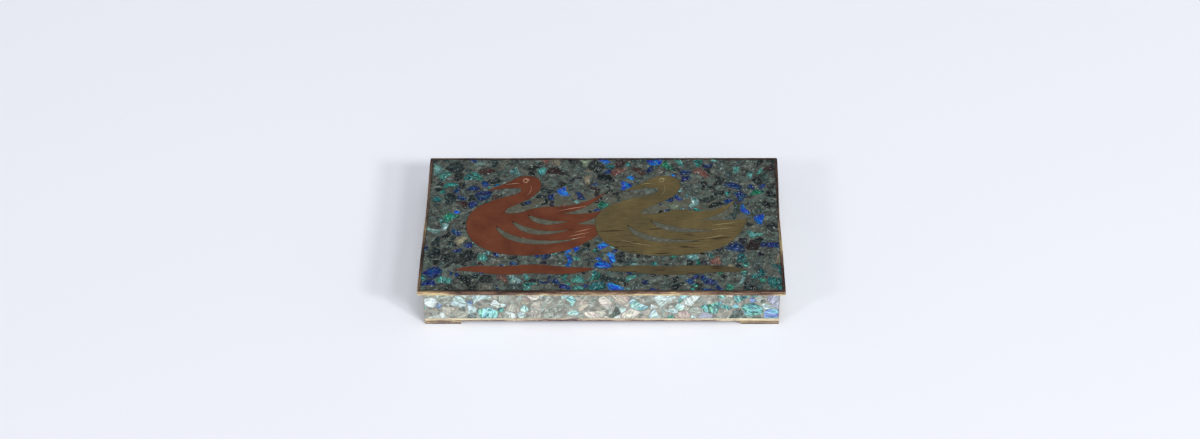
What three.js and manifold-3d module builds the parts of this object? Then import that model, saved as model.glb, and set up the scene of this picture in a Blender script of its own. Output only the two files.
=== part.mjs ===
// A low lidded box of brass sheet. Its sides and lid carry a mosaic of shell and stone chips in
// resin, and the lid has two water birds and two ripples of sheet metal let into the mosaic.
// Millimetres, +Z up, front towards -Y. The origin is the middle of the plane the feet stand on.

import * as THREE from 'three';
import { mergeVertices } from 'three/addons/utils/BufferGeometryUtils.js';
import Module from 'manifold-3d';

const wasm = await Module();
wasm.setup();

// Lid
const lidWidth = 203;
const lidDepth = 114;
const lidEdgeHeight = 2.5;
const lidPlateThickness = 0.8;
const lidCornerRadius = 0.9;
const lidOverhang = 2.9;
const rimWidth = 1.5;
const rimSoftening = 0.25;
const lipDepth = 3;
const lipThickness = 0.8;
const lipClearance = 0.4;

// Box
const boxHeight = 22.6;
const wallThickness = 0.8;
const floorThickness = 1;
const baseStripHeight = 2.2;
const baseStripSoftening = 0.2;

// Mosaic
const sidePanelThickness = 1.6;
const sidePanelInset = 0.1;
const lidGroundInset = 0.05;
const resinGap = 0.1;

// Feet
const footHeight = 1.9;
const footFrontLength = 20;
const footSideLength = 16;
const footStripThickness = 2;
const footCornerRadius = 0.7;
const footEndRunLeft = 0.6;
const footEndRunRight = 3.3;

// Sheet-metal figures: the ripples lie near the lid's front edge, and the birds behind them.
// Left and right are measured from the middle of the lid.
const figureThickness = 0.9;
const figureGap = 0.2;
const sawCutWidth = 0.4;
const rippleFromFront = 18.4;
const rippleThickness = 7;
const rippleSway = 0.7;
const birdFromRipple = 11.6;
const birdHeight = 69;
const birdSlotWidth = 4.4;
const copperBirdSpan = { left: -78, right: 3 };
const brassBirdSpan = { left: -5, right: 82 };
const copperRippleSpan = { left: -81, right: -4 };
const brassRippleSpan = { left: 2, right: 80 };

// Heights of the main levels
const floorUnderside = footHeight;
const floorTop = floorUnderside + floorThickness;
const stripTop = floorUnderside + baseStripHeight;
const boxTop = floorUnderside + boxHeight;
const lidPlateTop = boxTop + lidPlateThickness;
const lidTop = boxTop + lidEdgeHeight;
const groundTop = lidTop - lidGroundInset;
const figureBottom = groundTop - figureThickness;

// Places of the figures from front to back
const rippleMiddle = rippleFromFront - lidDepth / 2;
const birdFront = rippleMiddle + birdFromRipple;

// Plan sizes
const boxWidth = lidWidth - 2 * lidOverhang;
const boxDepth = lidDepth - 2 * lidOverhang;
const wallWidth = boxWidth - 2 * sidePanelThickness;
const wallDepth = boxDepth - 2 * sidePanelThickness;
const insideWidth = wallWidth - 2 * wallThickness;
const insideDepth = wallDepth - 2 * wallThickness;

// Cutting blocks run past the faces they cut by this much
const cutAllowance = 1;

// Colours and finishes
const brass = { color: 0x8a7450, roughness: 0.42, metalness: 0.9 };
const oldBrass = { color: 0x6a6040, roughness: 0.5, metalness: 0.7 };
const copper = { color: 0x6b4030, roughness: 0.5, metalness: 0.7 };
const paleMosaic = { color: 0xa8b0aa, roughness: 0.25, metalness: 0 };
const darkMosaic = { color: 0x4c5a5c, roughness: 0.2, metalness: 0 };

// Closed solids from three.js geometry, and back

function toSolid(geometry) {
  geometry.deleteAttribute('normal');
  geometry.deleteAttribute('uv');
  const merged = mergeVertices(geometry, 1e-5);
  const mesh = new wasm.Mesh({
    numProp: 3,
    vertProperties: Float32Array.from(merged.attributes.position.array),
    triVerts: Uint32Array.from(merged.index.array),
  });
  return new wasm.Manifold(mesh);
}

function toGeometry(solid) {
  const mesh = solid.getMesh();
  const geometry = new THREE.BufferGeometry();
  geometry.setAttribute('position', new THREE.BufferAttribute(mesh.vertProperties, 3));
  geometry.setIndex(new THREE.BufferAttribute(mesh.triVerts, 1));
  geometry.computeVertexNormals();
  return geometry;
}

function joined(solids) {
  return solids.reduce((whole, solid) => whole.add(solid));
}

// Upright prisms

function prism(points, bottom, top) {
  const geometry = new THREE.ExtrudeGeometry(new THREE.Shape(points), {
    depth: top - bottom,
    bevelEnabled: false,
  });
  geometry.translate(0, 0, bottom);
  return toSolid(geometry);
}

function roundedRectangle(width, depth, radius) {
  const shape = new THREE.Shape();
  const x = width / 2;
  const y = depth / 2;
  shape.moveTo(-x + radius, -y);
  shape.absarc(x - radius, -y + radius, radius, -Math.PI / 2, 0);
  shape.absarc(x - radius, y - radius, radius, 0, Math.PI / 2);
  shape.absarc(-x + radius, y - radius, radius, Math.PI / 2, Math.PI);
  shape.absarc(-x + radius, -y + radius, radius, Math.PI, Math.PI * 1.5);
  return shape;
}

function slab(width, depth, bottom, top, radius = 0, softening = 0) {
  const shape = radius > 0 ? roundedRectangle(width, depth, radius) : rectangle(width, depth);
  const geometry = new THREE.ExtrudeGeometry(shape, {
    depth: top - bottom - 2 * softening,
    bevelEnabled: softening > 0,
    bevelThickness: softening,
    bevelSize: softening,
    bevelOffset: -softening,
    bevelSegments: 1,
    curveSegments: 4,
  });
  geometry.translate(0, 0, bottom + softening);
  return toSolid(geometry);
}

function rectangle(width, depth) {
  const x = width / 2;
  const y = depth / 2;
  const corners = [[-x, -y], [x, -y], [x, y], [-x, y]];
  return new THREE.Shape(corners.map(([cornerX, cornerY]) => new THREE.Vector2(cornerX, cornerY)));
}

// Brass box: floor with its outer strip, and four walls

function boxShell() {
  const base = slab(boxWidth, boxDepth, floorUnderside, stripTop, 0, baseStripSoftening);
  const walls = slab(wallWidth, wallDepth, floorUnderside, boxTop);
  const inside = slab(insideWidth, insideDepth, floorTop, boxTop + cutAllowance);
  return base.add(walls).subtract(inside);
}

// Mosaic sheets on the sides: front and back cover the ends of the side ones

function sidePanel(width, depth, x, y) {
  const geometry = new THREE.BoxGeometry(width, depth, boxTop - stripTop - resinGap);
  geometry.translate(x, y, (boxTop + stripTop - resinGap) / 2);
  return toSolid(geometry);
}

const panelSkin = sidePanelThickness - sidePanelInset - resinGap;

function longPanel(side) {
  const y = side * (boxDepth / 2 - sidePanelInset - panelSkin / 2);
  return sidePanel(boxWidth - 2 * sidePanelInset, panelSkin, 0, y);
}

function shortPanel(side) {
  const x = side * (boxWidth / 2 - sidePanelInset - panelSkin / 2);
  return sidePanel(panelSkin, wallDepth, x, 0);
}

// Bracket feet: two legs of strip that meet at a corner, each with an ogee inner end

function footProfile(length, endRun, direction) {
  const shape = new THREE.Shape();
  const half = footHeight / 2;
  shape.moveTo(direction * footCornerRadius, 0);
  shape.lineTo(direction * length, 0);
  shape.bezierCurveTo(
    direction * (length + endRun / 2), 0,
    direction * (length + endRun / 4), half,
    direction * (length + endRun / 2), half,
  );
  shape.bezierCurveTo(
    direction * (length + endRun * 3 / 4), half,
    direction * (length + endRun / 2), footHeight,
    direction * (length + endRun), footHeight,
  );
  shape.lineTo(0, footHeight);
  shape.lineTo(0, footCornerRadius);
  shape.quadraticCurveTo(0, 0, direction * footCornerRadius, 0);
  return shape;
}

function footLeg(length, endRun, direction) {
  const geometry = new THREE.ExtrudeGeometry(footProfile(length, endRun, direction), {
    depth: footStripThickness,
    bevelEnabled: false,
    curveSegments: 4,
  });
  geometry.rotateX(Math.PI / 2);
  geometry.translate(0, footStripThickness / 2, 0);
  return geometry;
}

function foot(sideX, sideY, endRun) {
  const cornerX = sideX * boxWidth / 2;
  const cornerY = sideY * boxDepth / 2;
  const frontLeg = footLeg(footFrontLength, endRun, -sideX);
  frontLeg.translate(cornerX, cornerY - sideY * footStripThickness / 2, 0);
  const sideLeg = footLeg(footSideLength, endRun, -sideY);
  sideLeg.rotateZ(Math.PI / 2);
  sideLeg.translate(cornerX - sideX * footStripThickness / 2, cornerY, 0);
  return toSolid(frontLeg).add(toSolid(sideLeg));
}

// Lid: plate with a raised rim, and a lip below that drops inside the walls

function lidTray() {
  const block = slab(lidWidth, lidDepth, boxTop, lidTop, lidCornerRadius, rimSoftening);
  const recess = slab(
    lidWidth - 2 * rimWidth, lidDepth - 2 * rimWidth, lidPlateTop, lidTop + cutAllowance,
  );
  const lipWidth = insideWidth - 2 * lipClearance;
  const lipLength = insideDepth - 2 * lipClearance;
  const lip = slab(lipWidth, lipLength, boxTop - lipDepth, lidPlateTop - lidPlateThickness / 2);
  const lipHollow = slab(
    lipWidth - 2 * lipThickness, lipLength - 2 * lipThickness, boxTop - lipDepth - cutAllowance, boxTop,
  );
  return block.subtract(recess).add(lip.subtract(lipHollow));
}

// Flat figures. Each outline takes a spread: above 0 it grows all round, as the pocket around
// a figure needs, and below 0 it shrinks, as the resin inside a slot does.

const strokeSteps = 18;
const outlineSteps = 8;
const slotFullness = 0.75;
const narrowestShare = 0.1;

function stroke(curve, halfWidth, spread) {
  const left = [];
  const right = [];
  for (let step = 0; step <= strokeSteps; step += 1) {
    const along = step / strokeSteps;
    const reach = Math.max(halfWidth(along), sawCutWidth / 2) + spread;
    if (reach < sawCutWidth * narrowestShare) continue;
    const ahead = curve.getTangent(along);
    const overrun = spread * ((step === strokeSteps) - (step === 0));
    const point = curve.getPoint(along).addScaledVector(ahead, overrun);
    left.push(new THREE.Vector2(point.x - ahead.y * reach, point.y + ahead.x * reach));
    right.unshift(new THREE.Vector2(point.x + ahead.y * reach, point.y - ahead.x * reach));
  }
  return [...left, ...right];
}

function swollen(points, spread) {
  const outward = THREE.ShapeUtils.isClockWise(points) ? -spread : spread;
  return points.map((point, index) => {
    const before = points[(index + points.length - 1) % points.length];
    const after = points[(index + 1) % points.length];
    const arriving = point.clone().sub(before).normalize();
    const leaving = after.clone().sub(point).normalize();
    const bisector = arriving.clone().add(leaving).normalize();
    const reach = outward / Math.max(bisector.dot(arriving), 0.5);
    return new THREE.Vector2(point.x + bisector.y * reach, point.y - bisector.x * reach);
  });
}

// A swan faces left. Its points are shares of its length, towards the tail, and of its height.
// Each stretch of the outline gives the two handles of a curve and its end.

function swan(span, pose) {
  const place = ([share, rise]) => new THREE.Vector2(
    span.left + share * (span.right - span.left),
    birdFront + rise * birdHeight,
  );
  const outline = (spread) => {
    let from = place(pose.billTip);
    const points = pose.outline.flatMap((stretch) => {
      const [leaving, arriving, end] = stretch.map(place);
      const curve = new THREE.CubicBezierCurve(from, leaving, arriving, end);
      from = end;
      return curve.getPoints(outlineSteps).slice(1);
    });
    return swollen(points, spread);
  };
  const slot = (path, spread) => stroke(
    new THREE.CubicBezierCurve(...path.map(place)),
    (along) => birdSlotWidth / 2 * Math.sin(Math.PI * along ** slotFullness),
    spread,
  );
  return {
    outline,
    slots: (spread) => pose.slots.map((path) => slot(path, spread)),
  };
}

const copperPose = {
  billTip: [0.14, 0.8],
  outline: [
    [[0.2, 0.84], [0.26, 0.88], [0.3, 0.91]],
    [[0.35, 1], [0.51, 1.02], [0.52, 0.88]],
    [[0.53, 0.72], [0.38, 0.65], [0.3, 0.58]],
    [[0.25, 0.53], [0.27, 0.5], [0.34, 0.51]],
    [[0.43, 0.52], [0.45, 0.59], [0.58, 0.59]],
    [[0.74, 0.59], [0.86, 0.64], [0.98, 0.77]],
    [[0.9, 0.62], [0.8, 0.54], [0.68, 0.51]],
    [[0.78, 0.49], [0.9, 0.5], [1, 0.57]],
    [[0.92, 0.46], [0.86, 0.41], [0.78, 0.38]],
    [[0.85, 0.37], [0.93, 0.37], [1, 0.36]],
    [[0.88, 0.12], [0.68, 0], [0.42, 0]],
    [[0.14, 0], [0, 0.18], [0.01, 0.4]],
    [[0.02, 0.6], [0.18, 0.68], [0.32, 0.735]],
    [[0.4, 0.77], [0.4, 0.83], [0.34, 0.83]],
    [[0.28, 0.83], [0.22, 0.81], [0.14, 0.8]],
  ],
  slots: [
    [[0.22, 0.36], [0.28, 0.17], [0.54, 0.09], [0.84, 0.22]],
    [[0.33, 0.42], [0.4, 0.28], [0.56, 0.23], [0.76, 0.32]],
    [[0.44, 0.49], [0.5, 0.4], [0.6, 0.37], [0.74, 0.42]],
  ],
};

const brassPose = {
  billTip: [0.2, 0.79],
  outline: [
    [[0.25, 0.84], [0.31, 0.88], [0.35, 0.92]],
    [[0.4, 1], [0.56, 1.02], [0.57, 0.88]],
    [[0.58, 0.71], [0.41, 0.64], [0.34, 0.57]],
    [[0.29, 0.52], [0.3, 0.49], [0.38, 0.5]],
    [[0.47, 0.51], [0.49, 0.56], [0.6, 0.55]],
    [[0.72, 0.51], [0.82, 0.54], [0.93, 0.67]],
    [[0.86, 0.52], [0.78, 0.45], [0.66, 0.43]],
    [[0.78, 0.42], [0.9, 0.42], [1, 0.44]],
    [[0.97, 0.3], [0.93, 0.2], [0.85, 0.12]],
    [[0.74, 0.02], [0.6, 0], [0.42, 0]],
    [[0.14, 0], [0, 0.2], [0.01, 0.42]],
    [[0.02, 0.6], [0.2, 0.68], [0.36, 0.735]],
    [[0.44, 0.77], [0.44, 0.83], [0.39, 0.83]],
    [[0.33, 0.83], [0.27, 0.81], [0.2, 0.79]],
  ],
  slots: [
    [[0.22, 0.37], [0.28, 0.2], [0.46, 0.14], [0.72, 0.19]],
    [[0.37, 0.43], [0.44, 0.31], [0.6, 0.28], [0.82, 0.31]],
  ],
};

// A ripple is one wavy strip with thin ends

const copperSwells = 2.2;
const brassSwells = 1.6;
const rippleFullness = 0.5;

function ripple(span, swells) {
  const points = [];
  for (let step = 0; step <= strokeSteps; step += 1) {
    const along = step / strokeSteps;
    const sway = rippleSway * Math.sin(2 * Math.PI * swells * along);
    points.push(new THREE.Vector2(
      span.left + along * (span.right - span.left), rippleMiddle + sway,
    ));
  }
  const line = new THREE.SplineCurve(points);
  const halfWidth = (along) => rippleThickness / 2 * Math.sin(Math.PI * along) ** rippleFullness;
  return {
    outline: (spread) => stroke(line, halfWidth, spread),
    slots: () => [],
  };
}

function sawnSheet(figure) {
  const sheet = prism(figure.outline(0), figureBottom, groundTop);
  return without(sheet, figure.slots(0));
}

function pocket(figure) {
  const hollow = prism(figure.outline(figureGap), figureBottom, groundTop + cutAllowance);
  return without(hollow, figure.slots(-figureGap));
}

function without(solid, slots) {
  return slots.reduce(
    (rest, slot) => rest.subtract(prism(slot, lidPlateTop, lidTop + 2 * cutAllowance)), solid,
  );
}

const copperSwan = swan(copperBirdSpan, copperPose);
const brassSwan = swan(brassBirdSpan, brassPose);
const copperRipple = ripple(copperRippleSpan, copperSwells);
const brassRipple = ripple(brassRippleSpan, brassSwells);

// The copper tail stops short of the brass breast

function copperBird() {
  const neighbour = prism(brassSwan.outline(figureGap), lidPlateTop, lidTop + cutAllowance);
  return sawnSheet(copperSwan).subtract(neighbour);
}

function lidGround() {
  const margin = 2 * (rimWidth + resinGap);
  const block = slab(lidWidth - margin, lidDepth - margin, lidPlateTop, groundTop);
  const pockets = [copperSwan, brassSwan, copperRipple, brassRipple].map(pocket);
  return block.subtract(joined(pockets));
}

// The model

const box = new THREE.Group();

function put(name, solid, finish) {
  const mesh = new THREE.Mesh(toGeometry(solid), new THREE.MeshStandardMaterial(finish));
  mesh.name = name;
  box.add(mesh);
}

put('box_shell', boxShell(), brass);
put('inlay_front', longPanel(-1), paleMosaic);
put('inlay_back', longPanel(1), paleMosaic);
put('inlay_left', shortPanel(-1), paleMosaic);
put('inlay_right', shortPanel(1), paleMosaic);
put('foot_front_left', foot(-1, -1, footEndRunLeft), brass);
put('foot_front_right', foot(1, -1, footEndRunRight), brass);
put('foot_back_left', foot(-1, 1, footEndRunLeft), brass);
put('foot_back_right', foot(1, 1, footEndRunRight), brass);
put('lid_tray', lidTray(), brass);
put('lid_ground', lidGround(), darkMosaic);
put('copper_bird', copperBird(), copper);
put('brass_bird', sawnSheet(brassSwan), oldBrass);
put('copper_ripple', sawnSheet(copperRipple), copper);
put('brass_ripple', sawnSheet(brassRipple), oldBrass);

export default box;
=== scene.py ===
import math
import random

import bmesh
import bpy
from mathutils import Matrix, Vector, noise
from mathutils.bvhtree import BVHTree


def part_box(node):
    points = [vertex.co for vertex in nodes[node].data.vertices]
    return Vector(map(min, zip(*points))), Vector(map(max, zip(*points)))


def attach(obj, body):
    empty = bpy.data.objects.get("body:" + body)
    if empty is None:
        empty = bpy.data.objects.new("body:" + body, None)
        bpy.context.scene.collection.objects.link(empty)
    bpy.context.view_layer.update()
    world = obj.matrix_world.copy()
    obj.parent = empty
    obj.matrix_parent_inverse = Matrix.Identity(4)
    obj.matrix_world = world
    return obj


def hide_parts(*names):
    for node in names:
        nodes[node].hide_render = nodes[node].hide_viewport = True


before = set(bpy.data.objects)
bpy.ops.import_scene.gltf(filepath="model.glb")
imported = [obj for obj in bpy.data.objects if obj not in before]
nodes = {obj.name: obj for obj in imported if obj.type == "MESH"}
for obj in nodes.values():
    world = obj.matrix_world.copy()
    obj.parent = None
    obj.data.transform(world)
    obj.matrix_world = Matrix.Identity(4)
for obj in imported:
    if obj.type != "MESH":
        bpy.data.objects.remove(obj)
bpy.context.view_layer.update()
mm = 0.001

# Small helpers


def linear(hexText):
    # sRGB hex to the linear values that shader sockets hold
    channels = [int(hexText[start:start + 2], 16) / 255 for start in (1, 3, 5)]
    return tuple(c / 12.92 if c <= 0.04045 else ((c + 0.055) / 1.055) ** 2.4 for c in channels)


def colour(hexText):
    return (*linear(hexText), 1)


def feed(tree, node, inputs):
    # an output is linked to the socket, a node stands for its first output in use, and anything else is
    # the socket's own value
    for socket, source in inputs.items():
        if isinstance(source, bpy.types.Node):
            source = next(out for out in source.outputs if out.enabled)
        if isinstance(source, bpy.types.NodeSocket):
            tree.links.new(source, node.inputs[socket])
        else:
            node.inputs[socket].default_value = source


def addNode(tree, kind, inputs=None, stops=(), **settings):
    # one node with its settings, what its sockets take and, on a ramp, its stops from low to high
    node = tree.nodes.new("ShaderNode" + kind)
    for name, value in settings.items():
        setattr(node, name, value)
    feed(tree, node, inputs or {})
    for index, (position, hexText) in enumerate(stops):
        elements = node.color_ramp.elements
        element = elements[index] if index < 2 else elements.new(position)
        element.position = position
        element.color = colour(hexText)
    return node


def newMaterial(name, plain):
    material = bpy.data.materials.new(name)
    material.use_nodes = True
    tree = material.node_tree
    shader = tree.nodes["Principled BSDF"]
    feed(tree, shader, plain)
    return material, tree, shader


def meshFrom(shape, name, materials):
    mesh = bpy.data.meshes.new(name)
    shape.to_mesh(mesh)
    shape.free()
    for material in materials:
        mesh.materials.append(material)
    return mesh


def addAttribute(mesh, name, kind, key, values):
    # flat values, for every face corner in turn
    mesh.attributes.new(name=name, type=kind, domain="CORNER")
    mesh.attributes[name].data.foreach_set(key, values)


def addObject(name, data):
    thing = bpy.data.objects.new(name, data)
    bpy.context.scene.collection.objects.link(thing)
    return thing


def addPiece(mesh, solid):
    # a finished piece at the origin, riding on the one body in place of its solid
    piece = addObject(mesh.name, mesh)
    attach(piece, "root")
    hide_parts(solid)


def copyOfNode(nodeName):
    # the solid's own shape, with its loose triangles merged and flat faces made whole again
    shape = bmesh.new()
    shape.from_mesh(nodes[nodeName].data)
    bmesh.ops.remove_doubles(shape, verts=shape.verts, dist=0.002 * mm)
    bmesh.ops.dissolve_limit(
        shape, angle_limit=math.radians(0.5), verts=shape.verts, edges=shape.edges,
        delimit={"NORMAL"},
    )
    return shape


def cutThrough(shape, point, direction, **options):
    everything = shape.verts[:] + shape.edges[:] + shape.faces[:]
    bmesh.ops.bisect_plane(shape, geom=everything, plane_co=point, plane_no=direction, **options)


def bevel(shape, geometry, offset, segments, affect):
    bmesh.ops.bevel(
        shape, geom=geometry, offset=offset, offset_type="OFFSET", segments=segments, profile=0.5,
        affect=affect, material=-1, clamp_overlap=True,
    )


# Materials

# Brass strip: long streaks of rubbing leave it gold or brown, and painted light and shade by height make
# its lower edge and its top lighter (above 0, a painted highlight) or darker (below 0, painted shade)
stripLooks = {
    "rim": {
        "dark": "#42312c", "brown": "#735a4c", "tan": "#997d65", "gold": "#edd49c",
        "lowEdgeLighting": 0.16, "top": -0.1,
    },
    "base": {
        "dark": "#604c52", "brown": "#b09a86", "tan": "#e4d4b4", "gold": "#fff2c8",
        "lowEdgeLighting": -0.18, "top": 0.14,
    },
    "foot": {
        "dark": "#46363f", "brown": "#7a685e", "tan": "#b39e7a", "gold": "#f4e2b0",
        "lowEdgeLighting": -0.18, "top": 0.18,
    },
}


def makeStripBrass(name, look):
    # Brass strip, bent and soldered by hand: brown tarnish and rubbed gold in long streaks, with painted
    # highlights and painted shade at its lower edge, its top and the listed spots
    material, tree, shader = newMaterial(name, {"Metallic": 0.75})
    place = addNode(tree, "Attribute", attribute_name="stripPlace").outputs["Vector"]
    long = addNode(tree, "Mapping", {"Vector": place, "Scale": (0.085, 0.7, 0.7)})
    streaks = addNode(tree, "TexNoise", {"Vector": long, "Scale": 1, "Detail": 5, "Roughness": 0.62})
    short = addNode(tree, "Mapping", {"Vector": place, "Scale": (0.6, 1.4, 1.4)})
    grain = addNode(tree, "TexNoise", {"Vector": short, "Scale": 1, "Detail": 4, "Roughness": 0.65})
    height = addNode(tree, "SeparateXYZ", {"Vector": place})
    # painted light and shade by height: the strip's lower edge and its top made lighter or darker
    lowEdgeLighting = addNode(tree, "MapRange", {
        "Value": height.outputs["Z"], "From Min": 0.3, "From Max": 0.9, "To Min": look["lowEdgeLighting"],
        "To Max": 0,
    })
    top = addNode(tree, "MapRange", {
        "Value": height.outputs["Z"], "From Min": 1.4, "From Max": 2.3, "To Max": look["top"],
    })
    # both bands of painted light and shade together
    edges = addNode(tree, "Math", {0: lowEdgeLighting, 1: top}, operation="ADD")
    # the listed rubs and tarnish, with painted highlights and painted shade among them
    rubbedAndLitSpots = addNode(tree, "Attribute", attribute_name="stripRubbedAndLit").outputs["Fac"]
    rubbedAndLit = addNode(tree, "Math", {0: edges, 1: rubbedAndLitSpots}, operation="ADD")
    fine = addNode(tree, "MapRange", {"Value": grain, "To Min": -0.16, "To Max": 0.16})
    broad = addNode(tree, "Math", {0: streaks, 1: fine}, operation="ADD")
    wearAndLight = addNode(tree, "Math", {0: broad, 1: rubbedAndLit}, operation="ADD")
    tone = addNode(tree, "ValToRGB", {"Fac": wearAndLight}, stops=[
        (0.3, look["dark"]), (0.42, look["brown"]), (0.58, look["tan"]), (0.72, look["gold"]),
    ])
    dull = addNode(tree, "MapRange", {
        "Value": wearAndLight, "From Min": 0.35, "From Max": 0.7, "To Min": 0.56, "To Max": 0.3,
    })
    bump = addNode(tree, "Bump", {"Height": grain, "Strength": 0.35, "Distance": 0.06 * mm})
    feed(tree, shader, {"Base Color": tone, "Roughness": dull, "Normal": bump})
    return material


copperSheet = {"body": "#79422b", "dark": "#6b3824", "light": "#864c32"}
brassSheet = {"body": "#7a6b45", "dark": "#635b3e", "light": "#8e7d51", "pit": "#40301f"}
dullBrassSheet = {"body": "#6c6043", "dark": "#5a523a", "light": "#7c6f4c", "pit": "#40301f"}


def makeCopperSheet():
    # Copper sheet, sawn and sanded flush, gone an even dull brown
    material, tree, shader = newMaterial("copperSheetSanded", {"Metallic": 0.55})
    place = addNode(tree, "TexCoord").outputs["Object"]
    patches = addNode(tree, "TexNoise", {
        "Vector": place, "Scale": 1 / (14 * mm), "Detail": 6, "Roughness": 0.65,
    })
    tone = addNode(tree, "ValToRGB", {"Fac": patches}, stops=[
        (0.34, copperSheet["dark"]), (0.5, copperSheet["body"]), (0.68, copperSheet["light"]),
    ])
    grain = addNode(tree, "TexNoise", {
        "Vector": place, "Scale": 1 / (0.5 * mm), "Detail": 3, "Roughness": 0.7,
    })
    dull = addNode(tree, "MapRange", {
        "Value": grain, "From Min": 0.3, "From Max": 0.7, "To Min": 0.42, "To Max": 0.6,
    })
    bump = addNode(tree, "Bump", {"Height": grain, "Strength": 0.2, "Distance": 0.03 * mm})
    feed(tree, shader, {"Base Color": tone, "Roughness": dull, "Normal": bump})
    return material


def makeBrassSheet(name, look):
    # Brass sheet, sanded along its length: olive tarnish, fine scratches and a few dark long pits
    material, tree, shader = newMaterial(name, {"Metallic": 0.6})
    place = addNode(tree, "TexCoord").outputs["Object"]
    along = addNode(tree, "Mapping", {"Vector": place, "Scale": (0.09, 1, 1)})
    scratches = addNode(tree, "TexNoise", {
        "Vector": along, "Scale": 1 / (0.9 * mm), "Detail": 4, "Roughness": 0.7,
    })
    patches = addNode(tree, "TexNoise", {
        "Vector": place, "Scale": 1 / (16 * mm), "Detail": 5, "Roughness": 0.6,
    })
    both = addNode(tree, "Math", {0: scratches, 1: patches}, operation="ADD")
    mean = addNode(tree, "Math", {0: both, 1: 0.5}, operation="MULTIPLY")
    tone = addNode(tree, "ValToRGB", {"Fac": mean}, stops=[
        (0.36, look["dark"]), (0.5, look["body"]), (0.64, look["light"]),
    ])
    pitPlace = addNode(tree, "Mapping", {"Vector": place, "Scale": (0.13, 1, 1)})
    pits = addNode(tree, "TexNoise", {
        "Vector": pitPlace, "Scale": 1 / (1.9 * mm), "Detail": 3, "Roughness": 0.55,
    })
    spot = addNode(tree, "SeparateXYZ", {"Vector": place})
    lower = addNode(tree, "MapRange", {
        "Value": spot.outputs["Y"], "From Min": -12 * mm, "From Max": 10 * mm, "To Min": 0.06,
        "To Max": -0.08,
    })
    pitDepth = addNode(tree, "Math", {0: pits, 1: lower}, operation="ADD")
    pitted = addNode(tree, "MapRange", {
        "Value": pitDepth, "From Min": 0.65, "From Max": 0.7, "To Max": 0.85,
    })
    mixed = addNode(tree, "Mix", {
        "Factor": pitted, "A": tone, "B": colour(look["pit"]),
    }, data_type="RGBA")
    dull = addNode(tree, "MapRange", {
        "Value": scratches, "From Min": 0.3, "From Max": 0.7, "To Min": 0.5, "To Max": 0.36,
    })
    bump = addNode(tree, "Bump", {"Height": scratches, "Strength": 0.3, "Distance": 0.04 * mm})
    feed(tree, shader, {"Base Color": mixed, "Roughness": dull, "Normal": bump})
    return material


def makeEngraving(name, tone):
    # A graver's cut, where cleaner metal shows
    material, tree, shader = newMaterial(name, {"Metallic": 0.4, "Roughness": 0.45})
    place = addNode(tree, "TexCoord").outputs["Object"]
    uneven = addNode(tree, "TexNoise", {"Vector": place, "Scale": 1 / (2 * mm), "Detail": 3})
    shade = addNode(tree, "Mix", {
        "Factor": 0.35, "A": colour(tone), "B": uneven.outputs["Color"],
    }, data_type="RGBA", blend_type="MULTIPLY")
    feed(tree, shader, {"Base Color": shade})
    return material


darkResin = {
    "body": "#4c4e48", "dark": "#323632", "light": "#64665f", "fleck": "#a1b9a9", "grime": "#1d1713",
    "crumbs": ["#161c1e", "#303e3c", "#4e514a", "#5f6259", "#40605b", "#7b887e"],
    "crumb": 1.7, "share": 0.54, "fleckShare": 0.8, "roughness": 0.42, "shine": 0.22,
    "halfWidth": 99.8, "halfHeight": 55.3, "grimeWidth": 0.9,
}
paleResin = {
    "body": "#8b897d", "dark": "#737167", "light": "#a19f92", "fleck": "#cad4cf", "grime": "#635f58",
    "crumbs": ["#5c635e", "#84867c", "#989689", "#a9a699", "#86a29c", "#ccd5cc"],
    "crumb": 2.1, "share": 0.6, "fleckShare": 0.8, "roughness": 0.38, "shine": 0.5,
    "halfWidth": 200, "halfHeight": 200, "grimeWidth": 0.9,
}
# Plain resin, lighter and warmer, fills the slots of the two birds: the oval that holds them, in mm
slotFill = {"x": 8, "y": 0, "halfWidth": 82, "halfHeight": 26, "tone": "#5a5849", "share": 0.62}


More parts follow.
